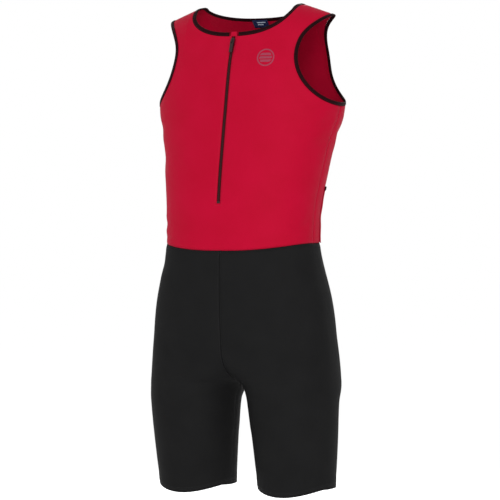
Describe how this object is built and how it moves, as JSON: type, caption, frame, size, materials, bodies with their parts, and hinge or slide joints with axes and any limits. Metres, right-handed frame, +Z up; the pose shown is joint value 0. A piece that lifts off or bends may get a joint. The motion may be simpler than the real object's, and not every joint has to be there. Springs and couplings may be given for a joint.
{
  "type": "triathlon suit",
  "caption": "Sleeveless one-piece sports suit with a short front zip, bound neck and armholes, fitted shorts and a back pocket, in its hollow worn form.",
  "frame": {"origin": "midway between the two shoulder straps, in the plane of the shoulder seams, where the wearer holds the suit up", "axes": "+Z up, -Y the front of the suit, +X the wearer's left"},
  "size_m": [0.3742, 0.2483, 0.9127],
  "materials": {
    "red_knit": "smooth stretch warp knit with a soft sheen",
    "black_knit": "smooth stretch warp knit, slightly shiny",
    "binding": "folded elastic binding, stitched",
    "zip_tape": "woven tape",
    "zip_plastic": "moulded nylon",
    "slider_paint": "smooth paint on die-cast zinc",
    "reflective_print": "thin heat-pressed print with a weak reflection",
    "label_navy": "woven satin label"
  },
  "bodies": {
    "suit": {"front": "red_knit", "back": "red_knit", "shorts_left": "black_knit", "shorts_right": "black_knit", "neck_binding": "binding", "armhole_binding_left": "binding", "armhole_binding_right": "binding", "zip_tape": "zip_tape", "zip_coil": "zip_plastic", "zip_stop": "zip_plastic", "zip_garage": "red_knit", "zip_slider": "slider_paint", "back_pocket": "red_knit", "pocket_binding": "binding", "chest_badge": "reflective_print", "neck_label": "label_navy"},
    "pull_tab": {"zip_pull_tab": "slider_paint"}
  },
  "joints": [
    {"name": "pull_tab_hinge", "type": "hinge", "parent": "suit", "child": "pull_tab", "pos_m": [0, -0.07339, -0.05866], "axis": [-1, 0, 0], "range_deg": [0, 150]}
  ]
}
